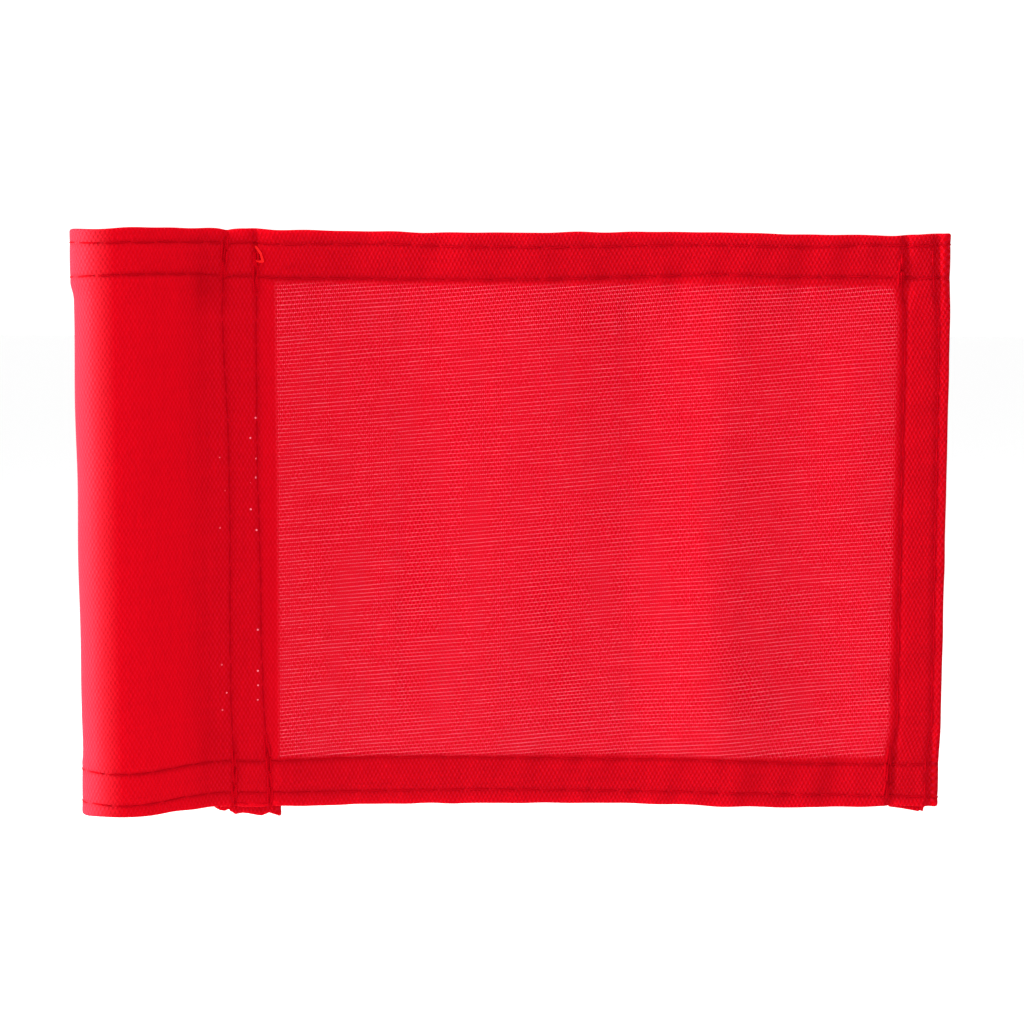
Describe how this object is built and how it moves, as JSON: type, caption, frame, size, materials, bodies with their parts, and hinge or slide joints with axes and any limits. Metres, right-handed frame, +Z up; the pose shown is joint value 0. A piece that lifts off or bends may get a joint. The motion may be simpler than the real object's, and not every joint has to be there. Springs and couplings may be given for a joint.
{
  "type": "golf flag for a practice-green flagstick",
  "caption": "Small rectangular sewn cloth flag with a stick sleeve on one side and double-stitched hems on the other three.",
  "frame": {"origin": "on the stick's axis, at the sleeve's lower mouth", "axes": "+Z up along the stick, +X from the sleeve to the fly edge, -Y the front, which the hems are turned away from"},
  "size_m": [0.1521, 0.0135, 0.1038],
  "materials": {
    "cloth": "plain-weave polyester, matt with a faint sheen",
    "thread": "polyester sewing thread"
  },
  "bodies": {
    "sleeve": {"hem_lower_inner_row_sleeve": "thread", "hem_lower_outer_row_sleeve": "thread", "hem_upper_inner_row_sleeve": "thread", "hem_upper_outer_row_sleeve": "thread", "lap_turn_under": "cloth", "lap_turn_under_lower": "cloth", "lap_turn_under_upper": "cloth", "seam_1_backtack_lower": "thread", "seam_1_backtack_upper": "thread", "seam_1_row": "thread", "seam_2_backtack_lower": "thread", "seam_2_backtack_upper": "thread", "seam_2_row": "thread", "seam_2_slack_loop": "thread", "seam_foot_row": "thread", "seam_thread_ends": "thread", "sleeve_cuff_lower": "cloth", "sleeve_cuff_upper": "cloth", "sleeve_wall": "cloth"},
    "field_near_sleeve": {"field_near": "cloth", "hem_lower_inner_row_near": "thread", "hem_lower_near": "cloth", "hem_lower_outer_row_near": "thread", "hem_upper_inner_row_near": "thread", "hem_upper_near": "cloth", "hem_upper_outer_row_near": "thread"},
    "field_middle": {"field_middle": "cloth", "hem_lower_inner_row_middle": "thread", "hem_lower_middle": "cloth", "hem_lower_outer_row_middle": "thread", "hem_upper_inner_row_middle": "thread", "hem_upper_middle": "cloth", "hem_upper_outer_row_middle": "thread"},
    "field_fly_side": {"field_fly": "cloth", "fly_backtack_lower": "thread", "fly_backtack_upper": "thread", "fly_hem": "cloth", "fly_inner_row": "thread", "fly_outer_row": "thread", "fly_run_lower": "thread", "fly_run_upper": "thread", "hem_lower_fly": "cloth", "hem_lower_inner_row_fly": "thread", "hem_lower_outer_row_fly": "thread", "hem_upper_fly": "cloth", "hem_upper_inner_row_fly": "thread", "hem_upper_outer_row_fly": "thread"}
  },
  "joints": [
    {"name": "bend_at_sleeve", "type": "hinge", "parent": "sleeve", "child": "field_near_sleeve", "pos_m": [0.03, 0.00525, 0.051], "axis": [0, 0, 1], "range_deg": [-60, 60], "stiffness_Nm_per_rad": 0.0002},
    {"name": "bend_near_middle", "type": "hinge", "parent": "field_near_sleeve", "child": "field_middle", "pos_m": [0.06877, 0.00525, 0.051], "axis": [0, 0, 1], "range_deg": [-60, 60], "stiffness_Nm_per_rad": 0.0002},
    {"name": "bend_near_fly", "type": "hinge", "parent": "field_middle", "child": "field_fly_side", "pos_m": [0.10753, 0.00525, 0.051], "axis": [0, 0, 1], "range_deg": [-60, 60], "stiffness_Nm_per_rad": 0.0002}
  ]
}
